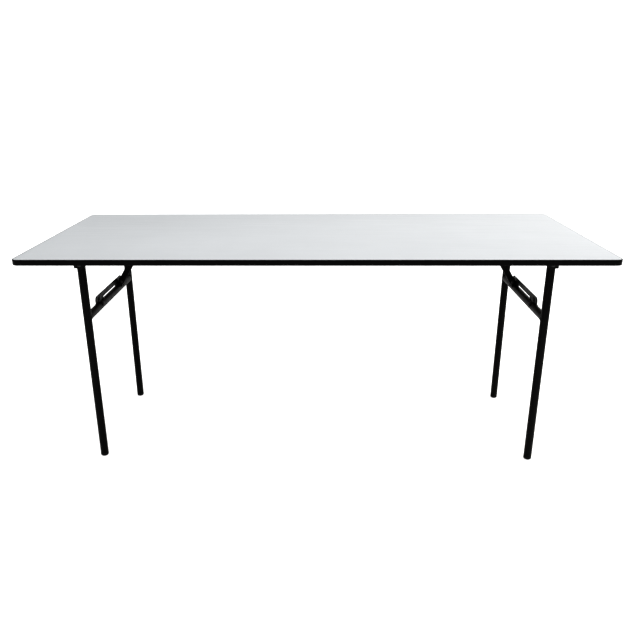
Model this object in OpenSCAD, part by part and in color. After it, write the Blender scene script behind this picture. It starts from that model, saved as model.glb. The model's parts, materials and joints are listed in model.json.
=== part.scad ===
// Folding table: a banded board top on two H-shaped tube leg frames.
// Each leg frame swings inward under the top and is held by a two-link stay
// towards the rear. X is the length, Y the depth (front at -Y), Z is up from the
// floor, and the origin lies on the floor under the middle of the top.

/* [Top] */
// Length of the top along X
top_length = 1830; // [1500:10:2000]
// Depth of the top along Y
top_depth = 760; // [700:10:900]
// Height of the top surface above the floor
table_height = 750; // [740:1:760]
// Thickness of the whole top
top_thick = 18; // [16:1:22]
// Plan radius of the four corners
corner_r = 22; // [15:1:60]
// Thickness of each laminate sheet
laminate_thick = 0.8; // [0.6:0.1:1.2]
// Width of the edge moulding beyond the board
band_width = 3; // [3:0.5:5]

/* [Leg frames] */
// Distance from the middle of the top to each pair of leg pivots
pivot_x = 750; // [735:5:780]
// Distance from the middle to each leg tube along Y
leg_y = 244; // [220:1:300]
// Outside diameter of the legs and crossbars
tube_d = 27; // [25:1:28]
// Wall of the tubes
tube_wall = 1.2; // [1:0.1:2]
// Depth of the leg pivot below the underside of the top
pivot_drop = 28; // [28:1:32]
// Distance from the leg pivot down to the crossbar
crossbar_drop = 184; // [180:1:190]
// Height of the round part of the foot caps
foot_height = 12; // [10:1:16]

/* [Crossbar handle] */
// Overall length of the handle strip along Y
handle_length = 300; // [260:10:340]
// Length of the finger gap under the handle
gap_length = 146; // [120:2:170]
// Height of the finger gap above the crossbar
gap_height = 7.5; // [6:0.5:9]
// Distance from the middle forward to the front handle clamp
clamp_front_y = 113; // [105:1:120]
// Distance from the middle back to the rear handle clamp
clamp_rear_y = 136; // [134:1:138]

/* [Stay] */
// Distance from the middle back to the stay
stay_y = 108; // [104:1:110]
// Stay lug pivot, inward from the leg pivot
lug_in = 13; // [13:0.5:13.5]
// Stay lug pivot, below the leg pivot
lug_down = 160; // [158:1:161]
// Top stay pivot, inward from the leg pivot
hanger_in = 120; // [119:1:121]
// Top stay pivot, above the leg pivot
hanger_up = 13; // [12:0.5:13]
// Pivot distance of the lower stay link
link_length = 98; // [97:0.5:99]
// Width of the lower stay link
link_width = 21; // [20:0.5:21]

/* [Hidden] */
$fn = 48;
eps = 0.01;

LEFT = -1;
RIGHT = 1;
FRONT = -1;
REAR = 1;

board_white = [0.86, 0.87, 0.88];
board_brown = [0.72, 0.58, 0.42];
moulding_black = [0.05, 0.05, 0.055];
frame_black = [0.07, 0.07, 0.075];
black_zinc = [0.16, 0.16, 0.17];
nylon_black = [0.12, 0.12, 0.12];

underside_z = table_height - top_thick;
pivot_z = underside_z - pivot_drop;
crossbar_z = pivot_z - crossbar_drop;
tube_r = tube_d / 2;

// Edge moulding: a lip with rounded arrises and a tongue in the board's groove
arris_r = band_width / 2;
tongue_length = 6;
tongue_root = 1;
tongue_thick = 1.6;
groove_play = 0.1;

// Leg bracket: a channel open towards the middle of the table
plate_thick = 2;
base_thick = 2.5;
cheek_gap = 0.5;
cheek_r = 15;
web_out = 5;
web_low = 12;
base_inner = 28;
base_outer = 46;
base_half_y = 30;
screw_margin = 8;
screw_head_r = 4;
screw_r = 2;
screw_length = 14;
screw_tip_r = 2.6;
screw_head_height = 1.8;
pilot_extra = 1;
bore_length = 40;

// Leg pivot: bolt, bush and nut
bolt_r = 4;
running = 0.06;
bush_r = 6;
bush_proud = 0.3;
bolt_half = tube_r + cheek_gap + plate_thick;
bolt_tail = 6;
bolt_head_r = 7.5;
bolt_head_height = 3.5;
bolt_head_taper = 2;
nut_r = 7.2;
nut_height = 5.4;
tube_above_pivot = 8.5;
stop_play = 0.2;
stop_half_y = 8;
stop_low = 12;
stop_high = 9;

// Foot cap: a plug in the tube with a rounded foot below it
cap_round_r = 5;
cap_plug_length = 22;

// Handle strip and its clamps
clamp_places = [-clamp_front_y, clamp_rear_y];
strip_thick = 3;
strip_height = 29;
strip_lap = 2.5;
strip_base_z = crossbar_z + tube_r - strip_lap;
gap_r = 5;
clamp_width = 24;
clamp_thick = 2;
saddle_low = 3;
clamp_bolt_r = 3;
clamp_bolt_head_r = 5.5;
clamp_bolt_head_height = 3;
clamp_bolt_head_taper = 1.7;
clamp_bolt_rise = 10;
clamp_nut_height = 4.5;
clamp_ear = 8;
clamp_overlap = 3;
clamp_bolt_z = crossbar_z + tube_r + clamp_bolt_rise;

// Stay: hanger under the top, slotted arm, lower link and lug on the crossbar
stay_pin_r = 4;
arm_thick = 4;
arm_half_width = 9;
arm_head_half = 15;
slot_play = 0.35;
hanger_half_u = 24;
hanger_half_y = 27;
hanger_screw_u = 16;
hanger_screw_y = 19;
hanger_inner_y = 2.3;
hanger_outer_y = 4.8;
link_inner_y = 5.3;
link_thick = 3;
lug_half_y = 4.8;
spacer_r = 6;
spacer_inner_y = 2.35;
pin_head_r = 6.5;
pin_head_thick = 2;
pin_head_taper = 1.5;

// Stay motion, in the plane of travel: u inward and v up from the leg pivot.
// Turning the leg frame by one degree turns the lower link by 0.43 degrees on
// the frame, and the slotted arm by half a degree back on the top.
link_ratio = 0.43;
arm_ratio = -0.5;
fold_angle = 90;
slot_turn = 45;
slot_middle = 65;
slot_step = 5;
slot_trim = 0.2;
arm_head_inset = 4;
lug_rest = [lug_in, -lug_down];
hanger = [hanger_in, hanger_up];
link_rest_angle = atan2(hanger[1] - lug_rest[1], hanger[0] - lug_rest[0]);
knee_rest = knee_at(0);
arm_rest_angle = atan2(knee_rest[1] - hanger[1], knee_rest[0] - hanger[0]);

function turned(p, a) = [p[0] * cos(a) - p[1] * sin(a), p[0] * sin(a) + p[1] * cos(a)];
function knee_at(fold) = turned(lug_rest, fold)
    + link_length * [cos(link_rest_angle + (1 + link_ratio) * fold),
                     sin(link_rest_angle + (1 + link_ratio) * fold)];
// The knee pin as the slotted arm sees it, with the arm lying along its own x
function slot_point(fold) = turned(knee_at(fold) - hanger, -arm_rest_angle - arm_ratio * fold);
function knee_reach() = slot_point(0)[0];
// Unit vector across the slot at a fold angle
function slot_across(fold) =
    let (run = slot_point(fold + 1) - slot_point(fold - 1)) [-run[1], run[0]] / norm(run);
// Past the turn angle the pin stays close to one place, the slot's round inner end
slot_end = (slot_point(slot_turn) + slot_point(slot_middle) + slot_point(fold_angle)) / 3;
slot_end_r = stay_pin_r + slot_play
    + max([for (fold = [slot_turn:slot_step:fold_angle]) norm(slot_point(fold) - slot_end)]);

// ---- helpers ----

module rounded_plan(half_x, half_y, r) {
    square([2 * half_x, 2 * (half_y - r)], center = true);
    square([2 * (half_x - r), 2 * half_y], center = true);
    for (x = [-1, 1], y = [-1, 1])
        translate([x * (half_x - r), y * (half_y - r)]) circle(r);
}

module board_sheet(z, thick) {
    translate([0, 0, z]) linear_extrude(thick)
        rounded_plan(top_length / 2 - band_width, top_depth / 2 - band_width, corner_r - band_width);
}

// A cylinder along Y, centred on y = 0
module bar_y(r, length) {
    rotate([90, 0, 0]) cylinder(r = r, h = length, center = true);
}

// Turns a flat outline drawn in u, v into a plate across Y
module stay_plate(y_low, y_high) {
    translate([0, y_high, 0]) rotate([90, 0, 0]) linear_extrude(y_high - y_low) children();
}

// Moves children drawn in u, v at one leg pivot to the stay of their end of the table
module at_stay(side) {
    translate([side * pivot_x, stay_y, pivot_z]) mirror([side > 0 ? 1 : 0, 0, 0]) children();
}

module mirrored_y() {
    children();
    mirror([0, 1, 0]) children();
}

module bar_outline(from, to, half_width) {
    run = to - from;
    translate(from) rotate(atan2(run[1], run[0]))
        translate([0, -half_width]) square([norm(run), 2 * half_width]);
}

// Wood screw with a low tapered head
module wood_screw() {
    translate([0, 0, -screw_head_height])
        cylinder(r1 = screw_tip_r, r2 = screw_head_r, h = screw_head_height);
    cylinder(r = screw_r, h = screw_length);
}

// ---- top ----

module board_core() {
    color(board_brown) difference() {
        board_sheet(underside_z + laminate_thick, top_thick - 2 * laminate_thick);
        translate([0, 0, underside_z + top_thick / 2 - tongue_thick / 2 - groove_play])
            linear_extrude(tongue_thick + 2 * groove_play) difference() {
                square([top_length, top_depth], center = true);
                rounded_plan(top_length / 2 - band_width - tongue_length - groove_play,
                    top_depth / 2 - band_width - tongue_length - groove_play,
                    corner_r - band_width - tongue_length);
            }
        screw_places() cylinder(r = screw_r, h = screw_length + pilot_extra);
    }
}

module top_laminate() {
    color(board_white) board_sheet(table_height - laminate_thick, laminate_thick);
}

module backing_laminate() {
    color(board_brown) difference() {
        board_sheet(underside_z, laminate_thick);
        screw_places() cylinder(r = screw_r, h = screw_length);
    }
}

module moulding_profile() {
    square([band_width - arris_r, top_thick]);
    translate([0, arris_r]) square([band_width, top_thick - 2 * arris_r]);
    for (z = [arris_r, top_thick - arris_r])
        translate([band_width - arris_r, z]) circle(arris_r);
    translate([-tongue_length, (top_thick - tongue_thick) / 2])
        square([tongue_length + tongue_root, tongue_thick]);
}

module edge_moulding() {
    half_x = top_length / 2;
    half_y = top_depth / 2;
    inner_r = corner_r - band_width;
    color(moulding_black) translate([0, 0, underside_z]) {
        for (a = [0, 180]) rotate(a) {
            translate([half_x - band_width, half_y - corner_r, 0]) rotate([90, 0, 0])
                linear_extrude(2 * (half_y - corner_r)) moulding_profile();
            translate([half_x - corner_r, half_y - band_width, 0]) rotate([90, 0, -90])
                mirror([1, 0, 0]) linear_extrude(2 * (half_x - corner_r)) moulding_profile();
        }
        for (x = [-1, 1], y = [-1, 1])
            translate([x * (half_x - corner_r), y * (half_y - corner_r), 0])
                rotate(x > 0 ? (y > 0 ? 0 : -90) : (y > 0 ? 90 : 180))
                    rotate_extrude(angle = 90) translate([inner_r, 0]) moulding_profile();
    }
}

// ---- leg brackets, fixed under the top ----

module at_leg(side, row) {
    translate([side * pivot_x, row * leg_y, pivot_z]) mirror([side > 0 ? 0 : 1, 0, 0]) children();
}

module at_all_legs() {
    for (side = [LEFT, RIGHT], row = [FRONT, REAR]) at_leg(side, row) children();
}

module bracket_screw_places() {
    for (x = [-base_inner + screw_margin, base_outer - screw_margin],
         y = [-1, 1] * (base_half_y - screw_margin))
        translate([x, y, pivot_drop - base_thick]) children();
}

module cheek_outline() {
    outer = tube_r + web_out;
    circle(cheek_r);
    translate([-cheek_r, 0]) square([cheek_r + outer, pivot_drop - base_thick + eps]);
    translate([0, -web_low]) square([outer, web_low + eps]);
}

module leg_bracket(side, row) {
    outer = tube_r + web_out;
    inside_y = tube_r + cheek_gap;
    color(frame_black) at_leg(side, row) difference() {
        union() {
            translate([-base_inner, -base_half_y, pivot_drop - base_thick])
                cube([base_inner + base_outer, 2 * base_half_y, base_thick]);
            mirrored_y() stay_plate(inside_y, inside_y + plate_thick) cheek_outline();
            translate([outer - plate_thick, -inside_y - eps, -web_low])
                cube([plate_thick, 2 * (inside_y + eps), web_low + pivot_drop - base_thick + eps]);
        }
        bar_y(bolt_r + running, 4 * tube_d);
        bracket_screw_places() translate([0, 0, -1]) cylinder(r = screw_r, h = base_thick + 2);
    }
}

// Every wood screw stands in the underside, pointing up
module screw_places() {
    at_all_legs() bracket_screw_places() translate([0, 0, base_thick - eps]) children();
    for (side = [LEFT, RIGHT]) hanger_screw_places(side) translate([0, 0, base_thick - eps]) children();
}

module leg_bracket_screws() {
    color(black_zinc) at_all_legs() bracket_screw_places() wood_screw();
}

module leg_stop_pads() {
    near = tube_r + stop_play;
    far = tube_r + web_out - plate_thick;
    color(nylon_black) at_all_legs()
        translate([near, -stop_half_y, -stop_low])
            cube([far - near, 2 * stop_half_y, stop_low - stop_high]);
}

module leg_pivot_bolts() {
    color(black_zinc) at_all_legs() {
        translate([0, bolt_tail / 2, 0]) bar_y(bolt_r, 2 * bolt_half + bolt_tail);
        translate([0, -bolt_half, 0]) rotate([90, 0, 0])
            cylinder(r1 = bolt_head_r, r2 = bolt_head_r - bolt_head_taper, h = bolt_head_height);
    }
}

module leg_pivot_nuts() {
    color(black_zinc) at_all_legs() difference() {
        translate([0, bolt_half + nut_height, 0]) rotate([90, 0, 0])
            cylinder(r = nut_r, h = nut_height, $fn = 6);
        bar_y(bolt_r, 4 * tube_d);
    }
}

// ---- stay hangers, fixed under the top ----

module hanger_screw_places(side) {
    at_stay(side) for (u = [-1, 1] * hanger_screw_u, y = [-1, 1] * hanger_screw_y)
        translate([hanger[0] + u, y, pivot_drop - base_thick]) children();
}

module stay_hanger(side) {
    color(frame_black) difference() {
        at_stay(side) difference() {
            union() {
                translate([hanger[0] - hanger_half_u, -hanger_half_y, pivot_drop - base_thick])
                    cube([2 * hanger_half_u, 2 * hanger_half_y, base_thick]);
                mirrored_y() stay_plate(hanger_inner_y, hanger_outer_y) {
                    translate(hanger) circle(arm_half_width);
                    translate([hanger[0] - arm_half_width, hanger[1]])
                        square([2 * arm_half_width, pivot_drop - base_thick - hanger[1] + eps]);
                }
            }
            translate([hanger[0], 0, hanger[1]]) bar_y(stay_pin_r, bore_length);
        }
        hanger_screw_places(side) translate([0, 0, -1]) cylinder(r = screw_r, h = base_thick + 2);
    }
}

module stay_hanger_screws() {
    color(black_zinc) for (side = [LEFT, RIGHT]) hanger_screw_places(side) wood_screw();
}

module stay_hanger_rivets() {
    color(black_zinc) for (side = [LEFT, RIGHT]) at_stay(side)
        translate([hanger[0], 0, hanger[1]]) bar_y(stay_pin_r, 2 * hanger_outer_y);
}

// ---- leg frames ----

module leg_tube(side, row) {
    low = foot_height - pivot_z;
    color(frame_black) at_leg(side, row) difference() {
        translate([0, 0, low]) cylinder(r = tube_r, h = tube_above_pivot - low);
        translate([0, 0, low - 1]) cylinder(r = tube_r - tube_wall, h = tube_above_pivot - low + 2);
        bar_y(bush_r, 2 * tube_d);
    }
}

module pivot_bushes(side) {
    color(nylon_black) for (row = [FRONT, REAR]) at_leg(side, row) difference() {
        bar_y(bush_r, tube_d + 2 * bush_proud);
        bar_y(bolt_r + running, 2 * tube_d);
    }
}

// Tube along Y, its ends shaped to the leg tubes
module crossbar(side) {
    color(frame_black) translate([side * pivot_x, 0, crossbar_z]) difference() {
        bar_y(tube_r, 2 * leg_y);
        bar_y(tube_r - tube_wall, 2 * leg_y + 2);
        for (row = [FRONT, REAR]) translate([0, row * leg_y, 0])
            cylinder(r = tube_r, h = 3 * tube_d, center = true);
    }
}

// Plug in the tube end with a rounded foot below it
module foot_cap(side, row) {
    plug_r = tube_r - tube_wall;
    color(nylon_black) translate([side * pivot_x, row * leg_y, 0]) rotate_extrude() {
        square([tube_r - cap_round_r, foot_height]);
        translate([0, cap_round_r]) square([tube_r, foot_height - cap_round_r]);
        translate([tube_r - cap_round_r, cap_round_r]) intersection() {
            circle(cap_round_r);
            translate([0, -cap_round_r]) square([cap_round_r, 2 * cap_round_r]);
        }
        translate([0, foot_height]) square([plug_r, cap_plug_length]);
    }
}

// ---- handle strip over the crossbar ----

// Outline in y and height above the crossbar centre
module strip_outline() {
    base = strip_base_z - crossbar_z;
    end_r = strip_height / 2;
    gap_top = tube_r + gap_height;
    difference() {
        union() {
            translate([-handle_length / 2 + end_r, base]) square([handle_length - 2 * end_r, strip_height]);
            for (y = [-1, 1]) translate([y * (handle_length / 2 - end_r), base + end_r]) circle(end_r);
        }
        translate([-gap_length / 2, 0]) square([gap_length, gap_top - gap_r]);
        translate([-gap_length / 2 + gap_r, 0]) square([gap_length - 2 * gap_r, gap_top]);
        for (y = [-1, 1]) translate([y * (gap_length / 2 - gap_r), gap_top - gap_r]) circle(gap_r);
    }
}

// Places children drawn with x outward from the crossbar centre
module at_crossbar(side) {
    translate([side * pivot_x, 0, crossbar_z]) mirror([side > 0 ? 0 : 1, 0, 0]) children();
}

module handle_strip(side) {
    color(frame_black) at_crossbar(side) difference() {
        rotate([90, 0, 90]) linear_extrude(strip_thick) strip_outline();
        bar_y(tube_r, 2 * handle_length);
        clamp_bolt_places() clamp_bolt_hole();
    }
}

module clamp_bolt_places() {
    for (y = clamp_places) translate([strip_thick / 2, y, clamp_bolt_z - crossbar_z]) children();
}

module clamp_bolt_hole() {
    rotate([0, 90, 0]) cylinder(r = clamp_bolt_r, h = bore_length, center = true);
}

// Saddles on the crossbar, with ears on both faces of the strip
module handle_clamps(side) {
    ear_top = clamp_bolt_z - crossbar_z + clamp_ear;
    ear_base = tube_r - clamp_overlap;
    color(frame_black) at_crossbar(side) difference() {
        for (y = clamp_places) translate([0, y, 0]) difference() {
            union() {
                bar_y(tube_r + clamp_thick, clamp_width);
                translate([-clamp_thick, -clamp_width / 2, ear_base])
                    cube([strip_thick + 2 * clamp_thick, clamp_width, ear_top - ear_base]);
            }
            bar_y(tube_r, 2 * clamp_width);
            translate([0, -clamp_width, ear_base]) cube([strip_thick, 2 * clamp_width, strip_height]);
            translate([-tube_d, -clamp_width, saddle_low - 2 * tube_d])
                cube([2 * tube_d, 2 * clamp_width, 2 * tube_d]);
        }
        clamp_bolt_places() clamp_bolt_hole();
    }
}

module handle_bolts(side) {
    half = strip_thick / 2 + clamp_thick;
    head_top_r = clamp_bolt_head_r - clamp_bolt_head_taper;
    color(black_zinc) at_crossbar(side) clamp_bolt_places() {
        rotate([0, 90, 0]) cylinder(r = clamp_bolt_r, h = 2 * half, center = true);
        translate([-half, 0, 0]) rotate([0, -90, 0])
            cylinder(r1 = clamp_bolt_head_r, r2 = head_top_r, h = clamp_bolt_head_height);
        translate([half, 0, 0]) rotate([0, 90, 0])
            cylinder(r = clamp_bolt_head_r, h = clamp_nut_height, $fn = 6);
    }
}

// ---- stay ----

module stay_lug(side) {
    crossbar_place = [0, -crossbar_drop];
    color(frame_black) at_stay(side) difference() {
        stay_plate(-lug_half_y, lug_half_y) {
            translate(lug_rest) circle(arm_half_width);
            bar_outline(crossbar_place, lug_rest, arm_half_width);
        }
        translate([0, 0, -crossbar_drop]) bar_y(tube_r, bore_length);
        translate([-bore_length, -bore_length / 2, -crossbar_drop])
            cube([bore_length, bore_length, 2 * tube_d]);
        translate([lug_rest[0], 0, lug_rest[1]]) bar_y(stay_pin_r, bore_length);
    }
}

module stay_pin(place) {
    half = link_inner_y + link_thick;
    translate([place[0], 0, place[1]]) {
        bar_y(stay_pin_r, 2 * half);
        mirrored_y() translate([0, half, 0]) rotate([-90, 0, 0])
            cylinder(r1 = pin_head_r, r2 = pin_head_r - pin_head_taper, h = pin_head_thick);
    }
}

module lug_pin(side) {
    color(black_zinc) at_stay(side) stay_pin(lug_rest);
}

// Turns children from lying along u to a line from a point at an angle
module laid_along(from, angle) {
    translate([from[0], 0, from[1]]) rotate([0, -angle, 0]) children();
}

module stay_link(side) {
    color(frame_black) at_stay(side) laid_along(lug_rest, link_rest_angle) difference() {
        mirrored_y() stay_plate(link_inner_y, link_inner_y + link_thick) {
            translate([0, -link_width / 2]) square([link_length, link_width]);
            for (u = [0, link_length]) translate([u, 0]) circle(link_width / 2);
        }
        bar_y(stay_pin_r + running, bore_length);
        translate([link_length, 0, 0]) bar_y(stay_pin_r, bore_length);
    }
}

module knee_pin(side) {
    color(black_zinc) at_stay(side) stay_pin(knee_rest);
}

module knee_spacers(side) {
    color(nylon_black) at_stay(side) translate([knee_rest[0], 0, knee_rest[1]]) mirrored_y()
        translate([0, link_inner_y, 0]) rotate([90, 0, 0]) difference() {
            cylinder(r = spacer_r, h = link_inner_y - spacer_inner_y);
            translate([0, 0, -1]) cylinder(r = stay_pin_r, h = bore_length);
        }
}

// Half the slot's width, a little less where the strip meets its round outer end
function slot_half(fold) = stay_pin_r + slot_play - (fold > 0 ? 0 : slot_trim);

// The curved slot: a strip along the pin's path, with two round ends
module slot_outline() {
    folds = [0:slot_step:slot_turn];
    near_side = [for (fold = folds) slot_point(fold) + slot_half(fold) * slot_across(fold)];
    far_side = [for (fold = folds) slot_point(fold) - slot_half(fold) * slot_across(fold)];
    last = len(far_side) - 1;
    polygon(concat(near_side, [for (i = [0:last]) far_side[last - i]]));
    translate(slot_point(0)) circle(stay_pin_r + slot_play);
    translate(slot_end) circle(slot_end_r);
}

module slotted_arm_outline() {
    head_end = knee_reach() - arm_head_inset;
    translate([0, -arm_half_width]) square([slot_end[0], 2 * arm_half_width]);
    translate([slot_end[0], -arm_head_half]) square([head_end - slot_end[0], 2 * arm_head_half]);
    circle(arm_half_width);
    for (u = [slot_end[0], head_end]) translate([u, 0]) circle(arm_head_half);
}

module slotted_arm(side) {
    color(frame_black) at_stay(side) laid_along(hanger, arm_rest_angle) difference() {
        stay_plate(-arm_thick / 2, arm_thick / 2) slotted_arm_outline();
        stay_plate(-arm_thick, arm_thick) slot_outline();
        bar_y(stay_pin_r + running, bore_length);
    }
}

// ---- the whole table ----

board_core();
top_laminate();
backing_laminate();
edge_moulding();
leg_bracket(LEFT, FRONT);  // leg_bracket_left_front
leg_bracket(LEFT, REAR);  // leg_bracket_left_rear
leg_bracket(RIGHT, FRONT);  // leg_bracket_right_front
leg_bracket(RIGHT, REAR);  // leg_bracket_right_rear
leg_bracket_screws();
leg_stop_pads();
leg_pivot_bolts();
leg_pivot_nuts();
stay_hanger(LEFT);  // stay_hanger_left
stay_hanger(RIGHT);  // stay_hanger_right
stay_hanger_screws();
stay_hanger_rivets();
leg_tube(LEFT, FRONT);  // leg_tube_left_front
leg_tube(LEFT, REAR);  // leg_tube_left_rear
leg_tube(RIGHT, FRONT);  // leg_tube_right_front
leg_tube(RIGHT, REAR);  // leg_tube_right_rear
pivot_bushes(LEFT);  // pivot_bushes_left
pivot_bushes(RIGHT);  // pivot_bushes_right
crossbar(LEFT);  // crossbar_left
crossbar(RIGHT);  // crossbar_right
foot_cap(LEFT, FRONT);  // foot_cap_left_front
foot_cap(LEFT, REAR);  // foot_cap_left_rear
foot_cap(RIGHT, FRONT);  // foot_cap_right_front
foot_cap(RIGHT, REAR);  // foot_cap_right_rear
handle_strip(LEFT);  // handle_strip_left
handle_strip(RIGHT);  // handle_strip_right
handle_clamps(LEFT);  // handle_clamps_left
handle_clamps(RIGHT);  // handle_clamps_right
handle_bolts(LEFT);  // handle_bolts_left
handle_bolts(RIGHT);  // handle_bolts_right
stay_lug(LEFT);  // stay_lug_left
stay_lug(RIGHT);  // stay_lug_right
lug_pin(LEFT);  // lug_pin_left
lug_pin(RIGHT);  // lug_pin_right
stay_link(LEFT);  // stay_link_left
stay_link(RIGHT);  // stay_link_right
knee_pin(LEFT);  // knee_pin_left
knee_pin(RIGHT);  // knee_pin_right
knee_spacers(LEFT);  // knee_spacers_left
knee_spacers(RIGHT);  // knee_spacers_right
slotted_arm(LEFT);  // slotted_arm_left
slotted_arm(RIGHT);  // slotted_arm_right
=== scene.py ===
"""Folding table: the looks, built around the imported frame.

Lengths are metres in the frame's own axes: X along the top, Y towards the rear, Z up.
"""

import json
import math

import bmesh
import bpy
from mathutils import Matrix, Vector


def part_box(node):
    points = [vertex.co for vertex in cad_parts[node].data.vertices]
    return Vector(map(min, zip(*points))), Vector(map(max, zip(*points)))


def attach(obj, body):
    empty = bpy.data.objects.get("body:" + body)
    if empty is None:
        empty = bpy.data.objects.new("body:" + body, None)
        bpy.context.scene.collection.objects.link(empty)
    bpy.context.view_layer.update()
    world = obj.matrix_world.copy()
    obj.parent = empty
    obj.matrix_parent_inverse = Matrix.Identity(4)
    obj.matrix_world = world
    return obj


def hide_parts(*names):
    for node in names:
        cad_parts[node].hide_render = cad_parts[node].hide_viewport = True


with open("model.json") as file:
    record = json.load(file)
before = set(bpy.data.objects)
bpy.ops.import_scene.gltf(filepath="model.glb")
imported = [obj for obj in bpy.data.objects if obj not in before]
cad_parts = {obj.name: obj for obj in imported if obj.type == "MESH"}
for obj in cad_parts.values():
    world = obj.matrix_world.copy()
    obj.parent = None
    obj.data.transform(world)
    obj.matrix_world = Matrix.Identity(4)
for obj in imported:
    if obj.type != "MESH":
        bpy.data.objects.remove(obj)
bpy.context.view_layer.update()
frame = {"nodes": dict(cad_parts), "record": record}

MM = 0.001
# The sign of each side along X, and of each row along Y
SIDES = {"left": -1, "right": 1}
ROWS = {"front": -1, "rear": 1}
# Edges sharper than this stay crisp or are eased, and faces nearer to flat than this are merged
SHARP_ANGLE = math.radians(38)
FLAT_ANGLE = math.radians(0.5)
# Vertices closer than this are one: in a frame mesh, and at the poles of a spun one
JOIN_GAP = 1e-6
POLE_GAP = 1e-7

record = frame["record"]
slot_of = {part["node"]: part["material_slot"] for part in record["subparts"]}
body_of = {node: body for body, nodes in record["behaviour"]["bodies"].items() for node in nodes}


# ---- places worked out from the frame ----

def middle(node):
    low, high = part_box(node)
    return (low + high) / 2


def extent(node):
    low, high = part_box(node)
    return high - low


tube_r = extent("leg_tube_left_front").x / 2


# ---- camera ----

CAMERA_PLACE = Vector((0.031, -2.278, 1.230))
CAMERA_PITCH = math.radians(20.13)
CAMERA_YAW = math.radians(1.88)
CAMERA_ROLL = math.radians(-0.47)
CAMERA_LENS = 36.9
CAMERA_SHIFT = (0.0267, 0.0131)


def add_camera():
    data = bpy.data.cameras.new("camera")
    data.sensor_width = 36.0
    data.lens = CAMERA_LENS
    data.shift_x, data.shift_y = CAMERA_SHIFT
    camera = bpy.data.objects.new("camera", data)
    bpy.context.scene.collection.objects.link(camera)
    turn = (Matrix.Rotation(CAMERA_YAW, 4, "Z")
            @ Matrix.Rotation(math.pi / 2 - CAMERA_PITCH, 4, "X")
            @ Matrix.Rotation(CAMERA_ROLL, 4, "Z"))
    camera.matrix_world = Matrix.Translation(CAMERA_PLACE) @ turn
    bpy.context.scene.camera = camera


# ---- shader nodes ----

def new_group(name, inputs, outputs):
    group = bpy.data.node_groups.new(name, "ShaderNodeTree")
    for label, kind, value in inputs:
        socket = group.interface.new_socket(label, in_out="INPUT", socket_type=kind)
        if value is not None:
            socket.default_value = value
    for label, kind in outputs:
        group.interface.new_socket(label, in_out="OUTPUT", socket_type=kind)
    return group, group.nodes.new("NodeGroupInput"), group.nodes.new("NodeGroupOutput")


def give(tree, socket, value):
    """Links a socket to another one, or sets it to a plain value."""
    if isinstance(value, bpy.types.NodeSocket):
        tree.links.new(value, socket)
    else:
        socket.default_value = value


def put(tree, kind, settings=None, **values):
    """A node with its plain settings, and with values for its sockets or links into them."""
    node = tree.nodes.new(kind)
    for key, value in (settings or {}).items():
        setattr(node, key, value)
    for label, value in values.items():
        give(tree, node.inputs[label.replace("_", " ")], value)
    return node


def object_point(tree, stretch=(1.0, 1.0, 1.0)):
    point = put(tree, "ShaderNodeTexCoord").outputs["Object"]
    return put(tree, "ShaderNodeMapping", Vector=point, Scale=stretch).outputs["Vector"]


def noise(tree, point, scale, detail, rough):
    node = put(tree, "ShaderNodeTexNoise", Vector=point, Scale=scale, Detail=detail, Roughness=rough)
    return node.outputs["Fac"]


def spread(tree, value, low, high, from_low=0.3, from_high=0.7):
    """Noise lies mostly between 0.3 and 0.7: this maps that band, or another, to low..high."""
    node = put(tree, "ShaderNodeMapRange", Value=value, From_Min=from_low, From_Max=from_high,
               To_Min=low, To_Max=high)
    return node.outputs["Result"]


def maths(tree, operation, a, b):
    node = put(tree, "ShaderNodeMath", {"operation": operation})
    give(tree, node.inputs[0], a)
    give(tree, node.inputs[1], b)
    return node.outputs["Value"]


def times(tree, a, b):
    return maths(tree, "MULTIPLY", a, b)


def plus(tree, a, b):
    return maths(tree, "ADD", a, b)


def blended(tree, share, a, b):
    """Colour a where the share is 0, colour b where it is 1."""
    node = put(tree, "ShaderNodeMix", {"data_type": "RGBA"})
    for label, value in (("Factor", share), ("A", a), ("B", b)):
        socket = [s for s in node.inputs if s.name == label and s.enabled][0]
        give(tree, socket, value)
    return [s for s in node.outputs if s.enabled][0]


# ---- studio: world, lights and floor ----

# Brightness of the world to the camera, as light all round, and as light from the window
WORLD_SEEN = 1.0
WORLD_LIGHT = 0.34
WINDOW_LIGHT = 0.80
SOFTBOX_TINT = (1.0, 0.955, 0.90)
# What the floor adds to its own brightness where the camera sees it
FLOOR_LIFT = 0.5
FLOOR_HALF = 14


def seen_or_not(tree, seen, unseen):
    """One number where the camera looks straight at it, another as light on the table."""
    direct = put(tree, "ShaderNodeLightPath").outputs["Is Camera Ray"]
    return put(tree, "ShaderNodeMapRange", Value=direct, To_Min=unseen, To_Max=seen).outputs["Result"]


def add_world():
    """Even light all round, and brighter from the right at the rear, as from a window."""
    world = bpy.data.worlds.new("studio")
    world.use_nodes = True
    tree = world.node_tree
    background = tree.nodes["Background"]
    background.inputs["Color"].default_value = (1.0, 1.0, 1.0, 1.0)
    direction = put(tree, "ShaderNodeTexCoord").outputs["Generated"]
    toward = put(tree, "ShaderNodeSeparateXYZ", Vector=direction)
    rightward = spread(tree, toward.outputs["X"], WORLD_LIGHT, WINDOW_LIGHT, from_low=-0.40, from_high=0.50)
    rearward = spread(tree, toward.outputs["Y"], 0.0, 1.0, from_low=0.2, from_high=0.9)
    window = put(tree, "ShaderNodeMapRange", Value=rearward, To_Min=WORLD_LIGHT, To_Max=rightward)
    strength = seen_or_not(tree, WORLD_SEEN, window.outputs["Result"])
    tree.links.new(strength, background.inputs["Strength"])
    bpy.context.scene.world = world


def place_light(name, data, place, target):
    light = bpy.data.objects.new(name, data)
    bpy.context.scene.collection.objects.link(light)
    look = (Vector(target) - Vector(place)).to_track_quat("-Z", "Y")
    light.matrix_world = Matrix.Translation(place) @ look.to_matrix().to_4x4()
    return light


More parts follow.
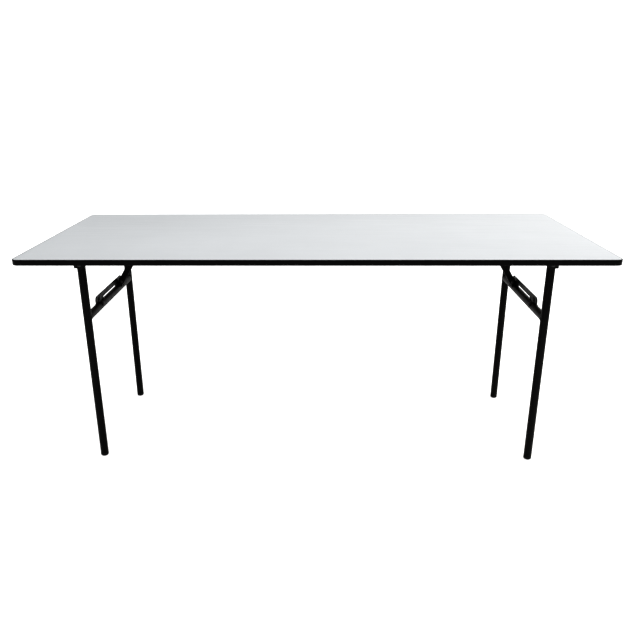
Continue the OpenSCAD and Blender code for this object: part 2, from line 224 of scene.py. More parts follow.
def add_softbox(name, place, target, width, depth, power):
    data = bpy.data.lights.new(name, "AREA")
    data.color = SOFTBOX_TINT
    data.shape = "RECTANGLE"
    data.size = width
    data.size_y = depth
    data.energy = power
    place_light(name, data, place, target).visible_glossy = False


def add_sky_panel(name, place, strength, spread_angle):
    data = bpy.data.lights.new(name, "SUN")
    data.energy = strength
    data.angle = math.radians(spread_angle)
    place_light(name, data, place, (0, 0, 0))


def add_lights():
    add_sky_panel("ceiling_panel", (0.8, 0.5, 3.0), strength=1.9, spread_angle=80)
    add_softbox("side_softbox", (3.2, 0.6, 1.6), (0, 0, 0.5), width=1.6, depth=1.6, power=30)


def add_floor():
    mesh = bmesh.new()
    bmesh.ops.create_grid(mesh, x_segments=1, y_segments=1, size=FLOOR_HALF)
    floor = bpy.data.objects.new("floor", bpy.data.meshes.new("floor"))
    mesh.to_mesh(floor.data)
    mesh.free()
    bpy.context.scene.collection.objects.link(floor)
    material, tree, shader = new_material(
        "pale_floor", Base_Color=shade(0.7), Roughness=0.9, Specular_IOR_Level=0.2,
        Emission_Color=shade(1.0))
    tree.links.new(seen_or_not(tree, FLOOR_LIFT, 0.0), shader.inputs["Emission Strength"])
    floor.data.materials.append(material)


# ---- shader node groups ----

def make_edge_wear():
    """Where the paint thins: near edges, broken up by noise."""
    group, given, made = new_group(
        "edge_wear",
        [("Radius", "NodeSocketFloat", 0.0008), ("Amount", "NodeSocketFloat", 0.5),
         ("Patch Scale", "NodeSocketFloat", 90.0)],
        [("Mask", "NodeSocketFloat")])
    rounded = put(group, "ShaderNodeBevel", {"samples": 4}, Radius=given.outputs["Radius"])
    plain = put(group, "ShaderNodeNewGeometry")
    match = put(group, "ShaderNodeVectorMath", {"operation": "DOT_PRODUCT"})
    group.links.new(rounded.outputs["Normal"], match.inputs[0])
    group.links.new(plain.outputs["Normal"], match.inputs[1])
    edge = spread(group, match.outputs["Value"], 1.0, 0.0, from_low=0.86, from_high=0.995)
    patches = noise(group, object_point(group), given.outputs["Patch Scale"], 4.0, 0.65)
    broken = spread(group, patches, 0.0, 1.0, from_low=0.42, from_high=0.62)
    worn = times(group, times(group, edge, broken), given.outputs["Amount"])
    group.links.new(worn, made.inputs["Mask"])
    return group


def make_mottle():
    """Slow cloudy change over a surface, with a fine speckle in it."""
    group, given, made = new_group(
        "mottle",
        [("Cloud Scale", "NodeSocketFloat", 6.0), ("Speckle Scale", "NodeSocketFloat", 900.0)],
        [("Cloud", "NodeSocketFloat"), ("Speckle", "NodeSocketFloat")])
    point = object_point(group)
    cloud = spread(group, noise(group, point, given.outputs["Cloud Scale"], 4.0, 0.6), 0.0, 1.0)
    speckle = spread(group, noise(group, point, given.outputs["Speckle Scale"], 2.0, 0.5), 0.0, 1.0)
    group.links.new(cloud, made.inputs["Cloud"])
    group.links.new(speckle, made.inputs["Speckle"])
    return group


def make_skin_bump():
    """Orange peel and fine tooth of a painted or moulded skin, as a normal."""
    group, given, made = new_group(
        "skin_bump",
        [("Peel Scale", "NodeSocketFloat", 500.0), ("Tooth Scale", "NodeSocketFloat", 3000.0),
         ("Height", "NodeSocketFloat", 0.00002), ("Strength", "NodeSocketFloat", 0.5)],
        [("Normal", "NodeSocketVector")])
    point = object_point(group)
    peel = noise(group, point, given.outputs["Peel Scale"], 1.5, 0.4)
    tooth = times(group, noise(group, point, given.outputs["Tooth Scale"], 2.0, 0.5), 0.35)
    bump = put(group, "ShaderNodeBump", Height=plus(group, peel, tooth),
               Strength=given.outputs["Strength"], Distance=given.outputs["Height"])
    group.links.new(bump.outputs["Normal"], made.inputs["Normal"])
    return group


def make_dust():
    """Light dust that settles on faces that look up."""
    group, given, made = new_group(
        "settled_dust", [("Amount", "NodeSocketFloat", 0.1)], [("Mask", "NodeSocketFloat")])
    normal = put(group, "ShaderNodeTexCoord").outputs["Normal"]
    parts = put(group, "ShaderNodeSeparateXYZ", Vector=normal)
    up = spread(group, parts.outputs["Z"], 0.0, 1.0, from_low=0.35, from_high=1.0)
    patches = spread(group, noise(group, object_point(group), 55.0, 5.0, 0.7), 0.25, 1.0)
    mask = times(group, times(group, up, patches), given.outputs["Amount"])
    group.links.new(mask, made.inputs["Mask"])
    return group


GROUPS = {"edge_wear": make_edge_wear(), "mottle": make_mottle(),
          "skin_bump": make_skin_bump(), "settled_dust": make_dust()}


def group_node(tree, name, **values):
    node = tree.nodes.new("ShaderNodeGroup")
    node.node_tree = GROUPS[name]
    for label, value in values.items():
        node.inputs[label.replace("_", " ")].default_value = value
    return node


# ---- materials, one for each slot ----

def new_material(name, **sockets):
    material = bpy.data.materials.new(name)
    material.use_nodes = True
    tree = material.node_tree
    shader = tree.nodes["Principled BSDF"]
    for label, value in sockets.items():
        shader.inputs[label.replace("_", " ")].default_value = value
    return material, tree, shader


def feed(tree, shader, colour, rough, normal):
    """Links what every finish works out into its shader."""
    tree.links.new(colour, shader.inputs["Base Color"])
    tree.links.new(rough, shader.inputs["Roughness"])
    tree.links.new(normal, shader.inputs["Normal"])


def shade(value, tint=(1.0, 1.0, 1.0)):
    return (value * tint[0], value * tint[1], value * tint[2], 1.0)


COOL = (0.945, 0.975, 1.0)


def laminate_top_finish():
    material, tree, shader = new_material("laminate_top", Specular_IOR_Level=0.5)
    mottle = group_node(tree, "mottle", Cloud_Scale=4.0, Speckle_Scale=1400.0)
    cloudy = blended(tree, mottle.outputs["Cloud"], shade(0.525, COOL), shade(0.548, COOL))
    speckled = blended(tree, times(tree, mottle.outputs["Speckle"], 0.10), cloudy, shade(0.46, COOL))
    wiped = noise(tree, object_point(tree, (0.6, 9.0, 1.0)), 7.0, 4.0, 0.6)
    rough = plus(tree, spread(tree, wiped, 0.30, 0.40), times(tree, mottle.outputs["Speckle"], 0.06))
    skin = group_node(tree, "skin_bump",
                      Peel_Scale=900.0, Tooth_Scale=4200.0, Height=0.000012, Strength=0.45)
    feed(tree, shader, colour=speckled, rough=rough, normal=skin.outputs["Normal"])
    return material


def painted_steel_finish():
    material, tree, shader = new_material("frame_steel", Specular_IOR_Level=0.15)
    mottle = group_node(tree, "mottle", Cloud_Scale=22.0, Speckle_Scale=1100.0)
    wear = group_node(tree, "edge_wear", Radius=0.0006, Amount=0.35, Patch_Scale=120.0)
    dust = group_node(tree, "settled_dust", Amount=0.035)
    paint = blended(tree, mottle.outputs["Cloud"], shade(0.0045), shade(0.0065))
    rubbed = blended(tree, wear.outputs["Mask"], paint, shade(0.075, (1.0, 0.98, 0.95)))
    dusty = blended(tree, dust.outputs["Mask"], rubbed, shade(0.35, (1.0, 0.97, 0.92)))
    rough = spread(tree, mottle.outputs["Cloud"], 0.36, 0.48, from_low=0.0, from_high=1.0)
    skin = group_node(tree, "skin_bump",
                      Peel_Scale=520.0, Tooth_Scale=2600.0, Height=0.00004, Strength=0.5)
    feed(tree, shader, colour=dusty, rough=rough, normal=skin.outputs["Normal"])
    return material


def moulding_finish():
    """Extruded black moulding, with faint draw lines along its length."""
    material, tree, shader = new_material("edge_moulding", Specular_IOR_Level=0.11)
    mottle = group_node(tree, "mottle", Cloud_Scale=14.0, Speckle_Scale=1500.0)
    lines = noise(tree, object_point(tree, (0.4, 0.4, 90.0)), 30.0, 3.0, 0.6)
    black = blended(tree, mottle.outputs["Cloud"], shade(0.0025), shade(0.0040))
    lined = blended(tree, spread(tree, lines, 0.0, 0.35), black, shade(0.0065))
    rough = spread(tree, lines, 0.24, 0.40)
    bump = put(tree, "ShaderNodeBump", Height=lines, Strength=0.25, Distance=0.00002)
    feed(tree, shader, colour=lined, rough=rough, normal=bump.outputs["Normal"])
    return material


def black_zinc_finish():
    material, tree, shader = new_material("fasteners", Metallic=1.0)
    mottle = group_node(tree, "mottle", Cloud_Scale=160.0, Speckle_Scale=2400.0)
    wear = group_node(tree, "edge_wear", Radius=0.0004, Amount=0.7, Patch_Scale=300.0)
    plate = blended(tree, mottle.outputs["Cloud"], shade(0.045, (0.95, 0.97, 1.0)), shade(0.075))
    bright = blended(tree, wear.outputs["Mask"], plate, shade(0.38))
    rough = spread(tree, mottle.outputs["Speckle"], 0.28, 0.46, from_low=0.0, from_high=1.0)
    skin = group_node(tree, "skin_bump",
                      Peel_Scale=1400.0, Tooth_Scale=6000.0, Height=0.00001, Strength=0.4)
    feed(tree, shader, colour=bright, rough=rough, normal=skin.outputs["Normal"])
    return material


def nylon_finish():
    material, tree, shader = new_material("nylon", Specular_IOR_Level=0.45)
    mottle = group_node(tree, "mottle", Cloud_Scale=80.0, Speckle_Scale=2200.0)
    black = blended(tree, mottle.outputs["Cloud"], shade(0.018), shade(0.03))
    rough = spread(tree, mottle.outputs["Speckle"], 0.42, 0.58, from_low=0.0, from_high=1.0)
    skin = group_node(tree, "skin_bump",
                      Peel_Scale=1500.0, Tooth_Scale=5000.0, Height=0.00003, Strength=0.5)
    feed(tree, shader, colour=black, rough=rough, normal=skin.outputs["Normal"])
    return material


SCUFF_HEIGHT = 0.006


def foot_rubber_finish():
    """Matt rubber, greyed by the floor towards the tread."""
    material, tree, shader = new_material("foot_rubber", Specular_IOR_Level=0.35)
    mottle = group_node(tree, "mottle", Cloud_Scale=120.0, Speckle_Scale=1800.0)
    height = put(tree, "ShaderNodeSeparateXYZ", Vector=object_point(tree)).outputs["Z"]
    low_down = spread(tree, height, 1.0, 0.0, from_low=0.0, from_high=SCUFF_HEIGHT)
    scuff = times(tree, times(tree, low_down, mottle.outputs["Cloud"]), 0.5)
    black = blended(tree, mottle.outputs["Cloud"], shade(0.010), shade(0.016))
    scuffed = blended(tree, scuff, black, shade(0.16, (1.0, 0.98, 0.94)))
    rough = spread(tree, mottle.outputs["Speckle"], 0.62, 0.82, from_low=0.0, from_high=1.0)
    skin = group_node(tree, "skin_bump",
                      Peel_Scale=900.0, Tooth_Scale=3600.0, Height=0.00005, Strength=0.6)
    feed(tree, shader, colour=scuffed, rough=rough, normal=skin.outputs["Normal"])
    return material


def board_finish():
    material, tree, shader = new_material("board", Specular_IOR_Level=0.2)
    fibres = noise(tree, object_point(tree, (1.0, 1.0, 6.0)), 420.0, 5.0, 0.75)
    mottle = group_node(tree, "mottle", Cloud_Scale=12.0, Speckle_Scale=1600.0)
    ground = blended(tree, mottle.outputs["Cloud"], (0.40, 0.27, 0.16, 1.0), (0.50, 0.35, 0.22, 1.0))
    fibred = blended(tree, spread(tree, fibres, 0.0, 0.7), ground, (0.22, 0.13, 0.07, 1.0))
    bump = put(tree, "ShaderNodeBump", Height=fibres, Strength=0.6, Distance=0.0001)
    feed(tree, shader, colour=fibred, rough=spread(tree, fibres, 0.7, 0.9), normal=bump.outputs["Normal"])
    return material


def backing_finish():
    """Brown balance sheet under the board, with paper fibres along its length."""
    material, tree, shader = new_material("laminate_under", Specular_IOR_Level=0.35)
    fibres = noise(tree, object_point(tree, (1.0, 14.0, 1.0)), 60.0, 6.0, 0.7)
    mottle = group_node(tree, "mottle", Cloud_Scale=5.0, Speckle_Scale=1300.0)
    ground = blended(tree, mottle.outputs["Cloud"],
                     (0.125, 0.075, 0.042, 1.0), (0.165, 0.102, 0.060, 1.0))
    fibred = blended(tree, spread(tree, fibres, 0.0, 0.45), ground, (0.085, 0.050, 0.028, 1.0))
    rough = spread(tree, mottle.outputs["Speckle"], 0.48, 0.62, from_low=0.0, from_high=1.0)
    bump = put(tree, "ShaderNodeBump", Height=fibres, Strength=0.3, Distance=0.00004)
    feed(tree, shader, colour=fibred, rough=rough, normal=bump.outputs["Normal"])
    return material


FINISHES = {
    "laminate_top": laminate_top_finish(), "laminate_under": backing_finish(),
    "board": board_finish(), "edge_moulding": moulding_finish(),
    "frame_steel": painted_steel_finish(), "fasteners": black_zinc_finish(),
    "nylon": nylon_finish(), "foot_rubber": foot_rubber_finish()}


def finish_frame_nodes():
    for node, obj in frame["nodes"].items():
        obj.data.materials.clear()
        obj.data.materials.append(FINISHES[slot_of[node]])


# ---- making pieces ----

def close_piece(mesh, name, body, slot, *replaced):
    """Turns a finished bmesh into a piece that rides on a body, perhaps in a node's place."""
    data = bpy.data.meshes.new(name)
    mesh.to_mesh(data)
    mesh.free()
    data.shade_smooth()
    data.set_sharp_from_angle(angle=SHARP_ANGLE)
    data.materials.append(FINISHES[slot])
    piece = bpy.data.objects.new(name, data)
    bpy.context.scene.collection.objects.link(piece)
    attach(piece, body)
    if replaced:
        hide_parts(*replaced)


def close_for_node(mesh, node):
    close_piece(mesh, "detailed_" + node, body_of[node], slot_of[node], node)


def sharp_edges(mesh, angle=SHARP_ANGLE):
    return [edge for edge in mesh.edges if edge.is_manifold and edge.calc_face_angle() > angle]


def soften(mesh, edges, width, segments=2):
    bmesh.ops.bevel(mesh, geom=edges, offset=width, offset_type="OFFSET", segments=segments,
                    profile=0.5, affect="EDGES", material=-1, clamp_overlap=True)


def joined(node):
    """A copy of a frame node's mesh, its loose triangles merged into whole faces."""
    mesh = bmesh.new()
    mesh.from_mesh(frame["nodes"][node].data)
    bmesh.ops.remove_doubles(mesh, verts=mesh.verts, dist=JOIN_GAP)
    bmesh.ops.dissolve_limit(mesh, angle_limit=FLAT_ANGLE, verts=mesh.verts, edges=mesh.edges)
    return mesh


def solid_boxes(node):
    """The box of each separate solid in a node, so that every screw keeps its own place."""
    mesh = bmesh.new()
    mesh.from_mesh(frame["nodes"][node].data)
    bmesh.ops.remove_doubles(mesh, verts=mesh.verts, dist=JOIN_GAP)
    boxes = []
    waiting = set(mesh.verts)
    while waiting:
        reached = [waiting.pop()]
        for vert in reached:
            for edge in vert.link_edges:
                other = edge.other_vert(vert)
                if other in waiting:
                    waiting.remove(other)
                    reached.append(other)
        low = Vector([min(vert.co[axis] for vert in reached) for axis in range(3)])
        high = Vector([max(vert.co[axis] for vert in reached) for axis in range(3)])
        boxes.append((low, high))
    mesh.free()
    return sorted(boxes, key=lambda box: tuple(box[0]))


def spun(profile, steps=32):
    """A profile of (radius, height) points turned about Z into a closed shell."""
    mesh = bmesh.new()
    points = [mesh.verts.new((radius, 0, height)) for radius, height in profile]
    lines = [mesh.edges.new(pair) for pair in zip(points, points[1:])]
    bmesh.ops.spin(mesh, geom=points + lines, cent=(0, 0, 0), axis=(0, 0, 1), angle=2 * math.pi,
                   steps=steps, use_merge=True)
    bmesh.ops.remove_doubles(mesh, verts=mesh.verts, dist=POLE_GAP)
    bmesh.ops.recalc_face_normals(mesh, faces=mesh.faces)
    return mesh


def stand_on(place, direction):
    """Moves something built up along Z to a place, with Z along a direction."""
    turn = Vector(direction).to_track_quat("Z", "Y").to_matrix().to_4x4()
    return Matrix.Translation(place) @ turn


def add_in(whole, part, where):
    part.transform(where)
    data = bpy.data.meshes.new("part")
    part.to_mesh(data)
    part.free()
    whole.from_mesh(data)
    bpy.data.meshes.remove(data)


# ---- edges eased on the pressed and cut parts ----

EASED_NODES = {
    "leg_bracket_{side}_{row}": 0.5 * MM, "stay_hanger_{side}": 0.4 * MM, "handle_strip_{side}": 0.7 * MM,
    "handle_clamps_{side}": 0.4 * MM, "stay_lug_{side}": 0.6 * MM, "stay_link_{side}": 0.6 * MM,
    "slotted_arm_{side}": 0.6 * MM, "knee_spacers_{side}": 0.2 * MM, "leg_stop_pads": 0.4 * MM,
    "stay_hanger_rivets": 0.5 * MM, "leg_tube_{side}_{row}": 0.3 * MM, "top_laminate": 0.2 * MM}


def nodes_like(pattern):
    return sorted({pattern.format(side=side, row=row) for side in SIDES for row in ROWS})


def ease_edges():
    for pattern, width in EASED_NODES.items():
        for node in nodes_like(pattern):
            mesh = joined(node)
            soften(mesh, sharp_edges(mesh), width)
            close_for_node(mesh, node)


# ---- edge moulding ----

MOULDING_ARRIS = 1.5 * MM
MOULDING_SHARP = math.radians(60)
CORNER_RADIUS = 22 * MM
CORNER_STEPS = 14
ARRIS_STEPS = 4


def is_outer(edge, high, width):
    """Whether an edge runs along the outside of the band, not along its inner wall."""
    place = (edge.verts[0].co + edge.verts[1].co) / 2
    reach_x = high.x - abs(place.x)
    reach_y = high.y - abs(place.y)
    if reach_x > CORNER_RADIUS or reach_y > CORNER_RADIUS:
        return min(reach_x, reach_y) < width / 2
    across = Vector((CORNER_RADIUS - reach_x, CORNER_RADIUS - reach_y))
    return across.length > CORNER_RADIUS - width / 2


def upright_edges(mesh):
    return [edge for edge in mesh.edges if abs(edge.verts[0].co.z - edge.verts[1].co.z) > 1 * MM]


def make_edge_moulding():
    """A band round the board, its outer arrises rounded."""
    low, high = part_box("edge_moulding")
    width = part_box("board_core")[0].x - low.x
    mesh = bmesh.new()
    bmesh.ops.create_cube(mesh, size=1)
    bmesh.ops.scale(mesh, vec=high - low, verts=mesh.verts)
    bmesh.ops.translate(mesh, vec=(low + high) / 2, verts=mesh.verts)
    soften(mesh, upright_edges(mesh), CORNER_RADIUS, CORNER_STEPS)
    caps = [face for face in mesh.faces if abs(face.normal.z) > 0.9]
    bmesh.ops.delete(mesh, geom=caps, context="FACES")
    bmesh.ops.solidify(mesh, geom=mesh.faces, thickness=width)
    outer = [edge for edge in sharp_edges(mesh, MOULDING_SHARP) if is_outer(edge, high, width)]
    soften(mesh, outer, MOULDING_ARRIS, ARRIS_STEPS)
    bmesh.ops.recalc_face_normals(mesh, faces=mesh.faces)
    close_for_node(mesh, "edge_moulding")


# ---- foot caps ----

CAP_STEPS = 48
# Millimetres out from the axis and up from the floor
CAP_TREAD = [(0, 0.6), (6.0, 0.6), (6.5, 0), (8.5, 0), (10.5, 0.5), (12.1, 1.7)]
# Millimetres in from the tube's outside and up from the floor
CAP_FLANK = [(0.5, 3.2), (0, 5)]
# Millimetres in from the tube's outside and down from the tube's end, with a groove
CAP_LIP = [(0, 1.4), (0.5, 1.1), (0.5, 0.6), (0.1, 0.3), (0.2, 0)]


def make_foot_caps():
    for node in nodes_like("foot_cap_{side}_{row}"):
        base = middle(node)
        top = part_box(node.replace("foot_cap", "leg_tube"))[0].z
        profile = [(reach * MM, height * MM) for reach, height in CAP_TREAD]
        profile += [(tube_r - inset * MM, height * MM) for inset, height in CAP_FLANK]
        profile += [(tube_r - inset * MM, top - down * MM) for inset, down in CAP_LIP]
        mesh = spun(profile + [(0, top)], CAP_STEPS)
        mesh.transform(Matrix.Translation((base.x, base.y, 0)))
        close_for_node(mesh, node)


# ---- screws, bolts, nuts and pins ----

PIVOT_HEAD = 3.5 * MM
PIVOT_SHANK = 4 * MM
PIVOT_TAIL = 6 * MM
HANDLE_HEAD = 3 * MM
HANDLE_NUT = 4.5 * MM
HANDLE_SHANK = 3 * MM
HANDLE_PROUD = 0.6 * MM
PIN_HEAD = 2 * MM
PIN_SHANK = 4 * MM
PIN_LIP = 0.3 * MM
SCREW_TURN = math.radians(47)
CROWN_SHARE = 0.72
CROWN_DROP = 0.25 * MM
SHOULDER_DROP = 0.75 * MM
RIM_HEIGHT = 0.8 * MM
RECESS_ARM = 2.1 * MM
RECESS_HALF = 0.45 * MM
RECESS_DEPTH = 1.3 * MM
RECESS_TAPER = 0.55
HEAD_LIP = 0.6 * MM
DOME_STEPS = 6
THREAD_PITCH = 1.25 * MM
THREAD_DEPTH = 0.35 * MM
THREAD_END = 0.5 * MM
# Shares of the pitch at which each turn begins to fall, is deepest and is full again
THREAD_TURN = (0.25, 0.55, 0.85)
NUT_EASE = 0.4 * MM
COLLAR_HEIGHT = 1.1 * MM
COLLAR_SINK = 0.3 * MM
COLLAR_BEVEL = 0.5 * MM


def screw_head(radius):
    """A low round head with a cross recess, its top at z = 0 and its body below."""
    mesh = bmesh.new()
    quarter = [(RECESS_ARM, -RECESS_HALF), (RECESS_ARM, RECESS_HALF), (RECESS_HALF, RECESS_HALF)]
    outline = []
    for turn in range(4):
        spin = Matrix.Rotation(turn * math.pi / 2, 3, "Z")
        outline += [spin @ Vector((x, y, 0)) for x, y in quarter]
    cross = bmesh.ops.create_circle(mesh, segments=len(outline), radius=RECESS_ARM)["verts"]
    for vert, place in zip(cross, outline):
        vert.co = place
    cross_edges = list(mesh.edges)
    crown = bmesh.ops.create_circle(mesh, segments=24, radius=radius * CROWN_SHARE)["verts"]
    crown_edges = [edge for edge in mesh.edges if edge.verts[0] in crown]
    bmesh.ops.translate(mesh, vec=(0, 0, -CROWN_DROP), verts=crown)
    bmesh.ops.bridge_loops(mesh, edges=cross_edges + crown_edges)
    drop_ring(mesh, crown_edges, 1 / CROWN_SHARE, -SHOULDER_DROP)
    rim = [edge for edge in mesh.edges if edge.is_boundary and edge not in cross_edges]
    drop_ring(mesh, rim, 1.0, -RIM_HEIGHT)
    recess_floor = drop_ring(mesh, cross_edges, RECESS_TAPER, -RECESS_DEPTH)
    bmesh.ops.contextual_create(mesh, geom=recess_floor)
    bmesh.ops.holes_fill(mesh, edges=[edge for edge in mesh.edges if edge.is_boundary])
    bmesh.ops.recalc_face_normals(mesh, faces=mesh.faces)
    return mesh


def drop_ring(mesh, edges, widen, fall):
    """Extrudes a ring of edges, scales it about the axis and moves it along Z."""
    made = bmesh.ops.extrude_edge_only(mesh, edges=edges)["geom"]
    verts = [item for item in made if isinstance(item, bmesh.types.BMVert)]
    bmesh.ops.scale(mesh, vec=(widen, widen, 1), verts=verts)
    bmesh.ops.translate(mesh, vec=(0, 0, fall), verts=verts)
    return [item for item in made if isinstance(item, bmesh.types.BMEdge)
            and item.verts[0] in verts and item.verts[1] in verts]


def make_screws(node):
    """Heads under the table, their recesses looking down and each turned its own way."""
    whole = bmesh.new()
    for count, (low, high) in enumerate(solid_boxes(node)):
        radius = (high.x - low.x) / 2
        place = ((low.x + high.x) / 2, (low.y + high.y) / 2, low.z)
        turn = Matrix.Rotation(SCREW_TURN * count, 4, "Z")
        add_in(whole, screw_head(radius), stand_on(place, (0, 0, -1)) @ turn)
    close_for_node(whole, node)


def dome(radius, height, lip=HEAD_LIP):
    """Profile of a domed head that stands on z = 0."""
    points = [(0, 0), (radius, 0), (radius, lip)]
    for step in range(1, DOME_STEPS + 1):
        angle = math.pi / 2 * step / DOME_STEPS
        points.append((radius * math.cos(angle), lip + (height - lip) * math.sin(angle)))
    return points


def threaded(radius, length):
    """Profile of a threaded end that stands on z = 0, drawn as fine rings."""
    points = [(0, 0), (radius, 0)]
    for turn in range(int(length / THREAD_PITCH)):
        fall, root, rise = [(turn + share) * THREAD_PITCH for share in THREAD_TURN]
        points += [(radius, fall), (radius - THREAD_DEPTH, root), (radius, rise)]
    points += [(radius, length - THREAD_END), (radius - THREAD_END, length), (0, length)]
    return points


def hex_nut(radius, height, bore):
    """Six sides with eased corners, and a round collar for the locking ring."""
    body = height - COLLAR_HEIGHT
    mesh = bmesh.new()
    bmesh.ops.create_cone(mesh, cap_ends=True, segments=6, radius1=radius, radius2=radius, depth=body)
    bmesh.ops.translate(mesh, vec=(0, 0, body / 2), verts=mesh.verts)
    soften(mesh, list(mesh.edges), NUT_EASE)
    outside = radius * math.cos(math.pi / 6) - NUT_EASE
    base = body - COLLAR_SINK
    ring = [(bore, base), (outside, base), (outside, height - COLLAR_BEVEL),
            (outside - COLLAR_BEVEL, height), (bore, height), (bore, base)]
    add_in(mesh, spun(ring), Matrix.Identity(4))
    return mesh


def shank(radius, length):
    """Profile of a plain round bar that stands on z = 0."""
    return [(0, 0), (radius, 0), (radius, length), (0, length)]


def make_pivot_bolts():
    whole = bmesh.new()
    for low, high in solid_boxes("leg_pivot_bolts"):
        x, z = (low.x + high.x) / 2, (low.z + high.z) / 2
        seat = low.y + PIVOT_HEAD
        tail = high.y - PIVOT_TAIL
        add_in(whole, spun(dome((high.x - low.x) / 2, PIVOT_HEAD)), stand_on((x, seat, z), (0, -1, 0)))
        add_in(whole, spun(shank(PIVOT_SHANK, tail - seat)), stand_on((x, seat, z), (0, 1, 0)))
        add_in(whole, spun(threaded(PIVOT_SHANK, PIVOT_TAIL)), stand_on((x, tail, z), (0, 1, 0)))
    close_for_node(whole, "leg_pivot_bolts")


def make_pivot_nuts():
    whole = bmesh.new()
    for low, high in solid_boxes("leg_pivot_nuts"):
        place = ((low.x + high.x) / 2, low.y, (low.z + high.z) / 2)
        add_in(whole, hex_nut((high.x - low.x) / 2, high.y - low.y, PIVOT_SHANK),
               stand_on(place, (0, 1, 0)))
    close_for_node(whole, "leg_pivot_nuts")


def make_handle_bolts():
    """Domed heads on the inner face of the strip, nuts on the outer face."""
    for side, outward in SIDES.items():
        node = "handle_bolts_" + side
        whole = bmesh.new()
        for low, high in solid_boxes(node):
            y, z = (low.y + high.y) / 2, (low.z + high.z) / 2
            inner, outer = (low.x, high.x) if outward > 0 else (high.x, low.x)
            radius = (high.z - low.z) / 2
            head_seat = inner + outward * HANDLE_HEAD
            nut_seat = outer - outward * HANDLE_NUT
            reach = abs(nut_seat - head_seat)
            add_in(whole, spun(dome(radius, HANDLE_HEAD)), stand_on((head_seat, y, z), (-outward, 0, 0)))
            add_in(whole, spun(shank(HANDLE_SHANK, reach)), stand_on((head_seat, y, z), (outward, 0, 0)))
            on_nut_seat = stand_on((nut_seat, y, z), (outward, 0, 0))
            add_in(whole, hex_nut(radius, HANDLE_NUT - HANDLE_PROUD, HANDLE_SHANK), on_nut_seat)
            add_in(whole, spun(threaded(HANDLE_SHANK, HANDLE_NUT)), on_nut_seat)
        close_for_node(whole, node)


def make_stay_pins():
    for pattern in ("lug_pin_{side}", "knee_pin_{side}"):
        for node in nodes_like(pattern):
            low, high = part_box(node)
            x, z = (low.x + high.x) / 2, (low.z + high.z) / 2
            radius = (high.x - low.x) / 2
            whole = bmesh.new()
            near, far = low.y + PIN_HEAD, high.y - PIN_HEAD
            for seat, facing in ((near, -1), (far, 1)):
                head = spun(dome(radius, PIN_HEAD, PIN_LIP))
                add_in(whole, head, stand_on((x, seat, z), (0, facing, 0)))
            add_in(whole, spun(shank(PIN_SHANK, far - near)), stand_on((x, near, z), (0, 1, 0)))
            close_for_node(whole, node)


# ---- welds ----

BEAD = 1.5 * MM
BEAD_SIDES = 8
BEAD_RIPPLES = 34
BEAD_RIPPLE = 0.10
RING_STEPS = 120
ARC_STEPS = 30
NEARLY_FULL = math.radians(359)
# Keeps the saddle's bead from coming to a point where the two tubes touch
SADDLE_ROUNDING = 0.02
# A vertex this close to the crossbar's surface lies on it
TOUCH = 0.3 * MM


def angle_of(offset):
    """Where something lies round a crossbar: zero at the top, growing towards +X."""
    return math.atan2(offset.x, offset.z)


def on_tube(angle):
    return Vector((tube_r * math.sin(angle), 0, tube_r * math.cos(angle)))


def bead(first, last, steps):
    """A rippled bead round a crossbar's axis, from one angle to another."""
    mesh = bmesh.new()
    ring = bmesh.ops.create_circle(mesh, segments=BEAD_SIDES, radius=BEAD)["verts"]
    bmesh.ops.translate(mesh, vec=(tube_r, 0, 0), verts=ring)
    bmesh.ops.spin(mesh, geom=mesh.verts[:] + mesh.edges[:], cent=(0, 0, 0), axis=(0, 1, 0),
                   angle=last - first, steps=steps, use_merge=last - first > NEARLY_FULL)
    bmesh.ops.remove_doubles(mesh, verts=mesh.verts, dist=POLE_GAP)
    bmesh.ops.holes_fill(mesh, edges=[edge for edge in mesh.edges if edge.is_boundary])
    mesh.transform(Matrix.Rotation(first - math.pi / 2, 4, "Y"))
    for vert in mesh.verts:
        angle = angle_of(vert.co)
        swell = 1 + BEAD_RIPPLE * math.sin(BEAD_RIPPLES * angle)
        vert.co = on_tube(angle) + (vert.co - on_tube(angle)) * swell
    bmesh.ops.recalc_face_normals(mesh, faces=mesh.faces)
    if mesh.calc_volume(signed=True) < 0:
        bmesh.ops.reverse_faces(mesh, faces=mesh.faces)
    return mesh


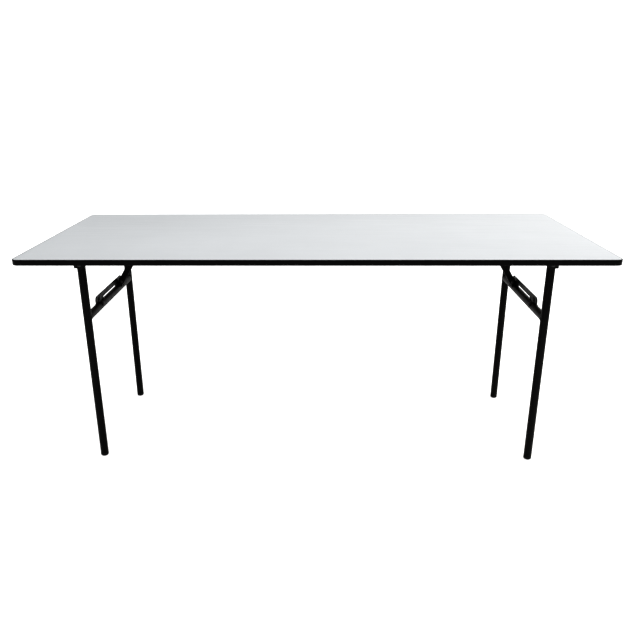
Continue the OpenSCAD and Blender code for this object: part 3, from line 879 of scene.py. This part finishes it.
def make_leg_welds():
    """Beads along the saddle where each crossbar end meets its leg tube."""
    for side in SIDES:
        whole = bmesh.new()
        crossbar = middle("crossbar_" + side)
        for row, toward in ROWS.items():
            mesh = bead(0, 2 * math.pi, RING_STEPS)
            for vert in mesh.verts:
                bend = math.sqrt(math.cos(angle_of(vert.co)) ** 2 + SADDLE_ROUNDING)
                vert.co.y -= toward * tube_r * bend
            leg_y = middle("leg_tube_%s_%s" % (side, row)).y
            add_in(whole, mesh, Matrix.Translation((crossbar.x, leg_y, crossbar.z)))
        close_piece(whole, "leg_welds_" + side, side + "_leg_frame", "frame_steel")


def foot_arc(lug, axis):
    """The arc of the crossbar that a lug stands on, read from its own mesh."""
    offsets = [vert.co - axis for vert in frame["nodes"][lug].data.vertices]
    angles = [angle_of(offset) for offset in offsets
              if abs(math.hypot(offset.x, offset.z) - tube_r) < TOUCH]
    return min(angles), max(angles)


def make_lug_welds():
    """A bead up each face of the stay lug, and one across its lower edge."""
    for side in SIDES:
        whole = bmesh.new()
        crossbar = middle("crossbar_" + side)
        low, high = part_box("stay_lug_" + side)
        first, last = foot_arc("stay_lug_" + side, crossbar)
        for y in (low.y, high.y):
            add_in(whole, bead(first, last, ARC_STEPS), Matrix.Translation((crossbar.x, y, crossbar.z)))
        across = bmesh.new()
        bmesh.ops.create_cone(across, cap_ends=True, segments=BEAD_SIDES, radius1=BEAD, radius2=BEAD,
                              depth=high.y - low.y + 2 * BEAD)
        place = crossbar + on_tube(max(first, last, key=abs))
        place.y = (low.y + high.y) / 2
        add_in(whole, across, stand_on(place, (0, 1, 0)))
        close_piece(whole, "lug_welds_" + side, side + "_leg_frame", "frame_steel")


def make_pieces():
    ease_edges()
    make_edge_moulding()
    make_foot_caps()
    make_screws("leg_bracket_screws")
    make_screws("stay_hanger_screws")
    make_pivot_bolts()
    make_pivot_nuts()
    make_handle_bolts()
    make_stay_pins()
    make_leg_welds()
    make_lug_welds()


# ---- the scene ----

add_camera()
add_world()
add_lights()
add_floor()
bpy.context.scene.view_settings.view_transform = "Standard"
bpy.context.scene.view_settings.look = "High Contrast"
finish_frame_nodes()
make_pieces()
